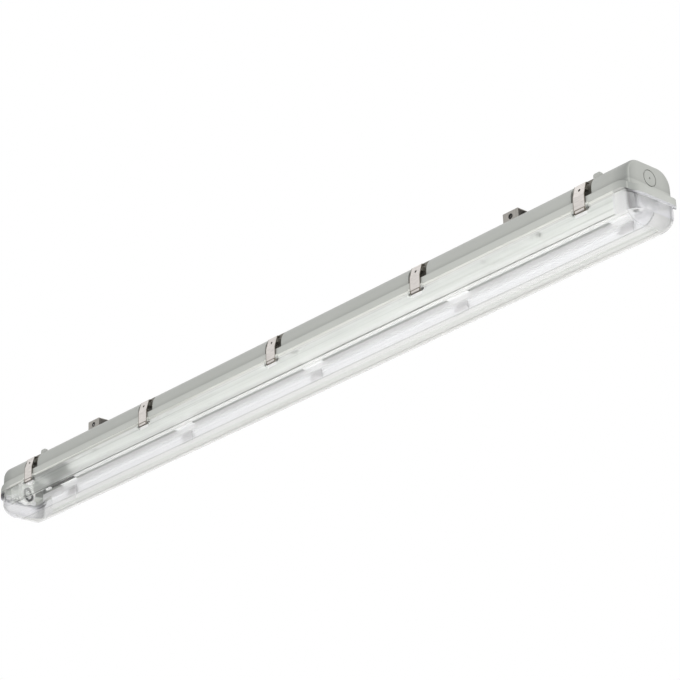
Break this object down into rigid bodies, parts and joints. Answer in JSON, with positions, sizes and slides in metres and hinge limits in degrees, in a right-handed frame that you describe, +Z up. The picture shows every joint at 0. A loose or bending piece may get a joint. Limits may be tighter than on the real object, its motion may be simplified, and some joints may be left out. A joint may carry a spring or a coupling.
{
  "type": "vapor-tight ceiling light",
  "caption": "Long sealed ceiling light for one straight lamp: grey arched housing, clear trough cover held by hinged steel clips, white gear tray and ceiling brackets on slide rails.",
  "frame": {"origin": "middle of the two bracket bolt holes, in the ceiling plane on top of the brackets", "axes": "+X runs along the light to the end shown nearest in the picture, +Y points to the back, +Z points up at the ceiling"},
  "size_m": [1.565, 0.1038, 0.1148],
  "materials": {
    "shell": "moulded light grey, fine satin",
    "seal": "foamed, dull",
    "clear_cover": "clear, ribbed inside",
    "stainless": "rolled stainless strip",
    "rail_steel": "rolled stainless sheet",
    "zinc": "zinc plated",
    "white_tray": "white enamel, satin",
    "white_plastic": "moulded white",
    "dark_plastic": "moulded dark grey",
    "blue_plastic": "moulded blue",
    "green_plastic": "moulded green",
    "contact_brass": "bright strip",
    "gear_case": "white coated case",
    "lead_jacket": "white insulation"
  },
  "bodies": {
    "housing_body": {"housing": "shell", "gasket": "seal", "slide_rail_left": "rail_steel", "slide_rail_right": "rail_steel", "rail_screws": "zinc", "gear_tray": "white_tray", "lampholder_left": "white_plastic", "lampholder_right": "white_plastic", "lamp_contacts_left": "contact_brass", "lamp_contacts_right": "contact_brass", "ballast": "gear_case", "ballast_screws": "zinc", "terminal_block": "white_plastic", "supply_leads": "lead_jacket", "lamp_leads_left": "lead_jacket", "lamp_leads_right": "lead_jacket", "earth_lead": "green_plastic", "earth_screw": "zinc", "cable_grommet": "seal"},
    "cover_body": {"cover": "clear_cover", "clip_pins": "stainless"},
    "clip_front_1_body": {"clip_front_1": "stainless"},
    "clip_front_2_body": {"clip_front_2": "stainless"},
    "clip_front_3_body": {"clip_front_3": "stainless"},
    "clip_front_4_body": {"clip_front_4": "stainless"},
    "clip_front_5_body": {"clip_front_5": "stainless"},
    "clip_back_1_body": {"clip_back_1": "stainless"},
    "clip_back_2_body": {"clip_back_2": "stainless"},
    "clip_back_3_body": {"clip_back_3": "stainless"},
    "clip_back_4_body": {"clip_back_4": "stainless"},
    "clip_back_5_body": {"clip_back_5": "stainless"},
    "rotor_left_body": {"rotor_left": "dark_plastic"},
    "bracket_left_body": {"bracket_left": "rail_steel"},
    "rotor_right_body": {"rotor_right": "dark_plastic"},
    "bracket_right_body": {"bracket_right": "rail_steel"},
    "latch_left_body": {"tray_latch_left": "white_plastic"},
    "latch_middle_body": {"tray_latch_middle": "white_plastic"},
    "latch_right_body": {"tray_latch_right": "white_plastic"},
    "button_live_body": {"push_button_live": "dark_plastic"},
    "button_neutral_body": {"push_button_neutral": "blue_plastic"},
    "button_earth_body": {"push_button_earth": "green_plastic"}
  },
  "joints": [
    {"name": "cover_drop", "type": "slide", "parent": "housing_body", "child": "cover_body", "axis": [0, 0, -1], "range_m": [0, 0.035]},
    {"name": "clip_front_1_hinge", "type": "hinge", "parent": "cover_body", "child": "clip_front_1_body", "pos_m": [-0.68, -0.049, -0.0718], "axis": [1, 0, 0], "range_deg": [0, 150]},
    {"name": "clip_front_2_hinge", "type": "hinge", "parent": "cover_body", "child": "clip_front_2_body", "pos_m": [-0.34, -0.049, -0.0718], "axis": [1, 0, 0], "range_deg": [0, 150]},
    {"name": "clip_front_3_hinge", "type": "hinge", "parent": "cover_body", "child": "clip_front_3_body", "pos_m": [0, -0.049, -0.0718], "axis": [1, 0, 0], "range_deg": [0, 150]},
    {"name": "clip_front_4_hinge", "type": "hinge", "parent": "cover_body", "child": "clip_front_4_body", "pos_m": [0.34, -0.049, -0.0718], "axis": [1, 0, 0], "range_deg": [0, 150]},
    {"name": "clip_front_5_hinge", "type": "hinge", "parent": "cover_body", "child": "clip_front_5_body", "pos_m": [0.68, -0.049, -0.0718], "axis": [1, 0, 0], "range_deg": [0, 150]},
    {"name": "clip_back_1_hinge", "type": "hinge", "parent": "cover_body", "child": "clip_back_1_body", "pos_m": [-0.68, 0.049, -0.0718], "axis": [-1, 0, 0], "range_deg": [0, 150]},
    {"name": "clip_back_2_hinge", "type": "hinge", "parent": "cover_body", "child": "clip_back_2_body", "pos_m": [-0.34, 0.049, -0.0718], "axis": [-1, 0, 0], "range_deg": [0, 150]},
    {"name": "clip_back_3_hinge", "type": "hinge", "parent": "cover_body", "child": "clip_back_3_body", "pos_m": [0, 0.049, -0.0718], "axis": [-1, 0, 0], "range_deg": [0, 150]},
    {"name": "clip_back_4_hinge", "type": "hinge", "parent": "cover_body", "child": "clip_back_4_body", "pos_m": [0.34, 0.049, -0.0718], "axis": [-1, 0, 0], "range_deg": [0, 150]},
    {"name": "clip_back_5_hinge", "type": "hinge", "parent": "cover_body", "child": "clip_back_5_body", "pos_m": [0.68, 0.049, -0.0718], "axis": [-1, 0, 0], "range_deg": [0, 150]},
    {"name": "rotor_left_turn", "type": "hinge", "parent": "housing_body", "child": "rotor_left_body", "pos_m": [-0.75, 0, -0.0721], "axis": [1, 0, 0], "range_deg": [0, 90]},
    {"name": "bracket_left_slide", "type": "slide", "parent": "housing_body", "child": "bracket_left_body", "axis": [1, 0, 0], "range_m": [-0.08, 0.08]},
    {"name": "rotor_right_turn", "type": "hinge", "parent": "housing_body", "child": "rotor_right_body", "pos_m": [0.75, 0, -0.0721], "axis": [1, 0, 0], "range_deg": [0, 90]},
    {"name": "bracket_right_slide", "type": "slide", "parent": "housing_body", "child": "bracket_right_body", "axis": [1, 0, 0], "range_m": [-0.08, 0.08]},
    {"name": "latch_left_turn", "type": "hinge", "parent": "housing_body", "child": "latch_left_body", "pos_m": [-0.55, 0, -0.05], "axis": [0, 0, 1], "range_deg": [0, 90]},
    {"name": "latch_middle_turn", "type": "hinge", "parent": "housing_body", "child": "latch_middle_body", "pos_m": [0, 0, -0.05], "axis": [0, 0, 1], "range_deg": [0, 90]},
    {"name": "latch_right_turn", "type": "hinge", "parent": "housing_body", "child": "latch_right_body", "pos_m": [0.55, 0, -0.05], "axis": [0, 0, 1], "range_deg": [0, 90]},
    {"name": "button_live_press", "type": "slide", "parent": "housing_body", "child": "button_live_body", "axis": [0, 0, 1], "range_m": [0, 0.0015], "stiffness_N_per_m": 1000},
    {"name": "button_neutral_press", "type": "slide", "parent": "housing_body", "child": "button_neutral_body", "axis": [0, 0, 1], "range_m": [0, 0.0015], "stiffness_N_per_m": 1000},
    {"name": "button_earth_press", "type": "slide", "parent": "housing_body", "child": "button_earth_body", "axis": [0, 0, 1], "range_m": [0, 0.0015], "stiffness_N_per_m": 1000}
  ],
  "couplings": [
    {"joint": "clip_front_1_hinge", "follows": "cover_drop", "rad_per_m": 74.79},
    {"joint": "clip_front_2_hinge", "follows": "cover_drop", "rad_per_m": 74.79},
    {"joint": "clip_front_3_hinge", "follows": "cover_drop", "rad_per_m": 74.79},
    {"joint": "clip_front_4_hinge", "follows": "cover_drop", "rad_per_m": 74.79},
    {"joint": "clip_front_5_hinge", "follows": "cover_drop", "rad_per_m": 74.79},
    {"joint": "clip_back_1_hinge", "follows": "cover_drop", "rad_per_m": 74.79},
    {"joint": "clip_back_2_hinge", "follows": "cover_drop", "rad_per_m": 74.79},
    {"joint": "clip_back_3_hinge", "follows": "cover_drop", "rad_per_m": 74.79},
    {"joint": "clip_back_4_hinge", "follows": "cover_drop", "rad_per_m": 74.79},
    {"joint": "clip_back_5_hinge", "follows": "cover_drop", "rad_per_m": 74.79}
  ]
}
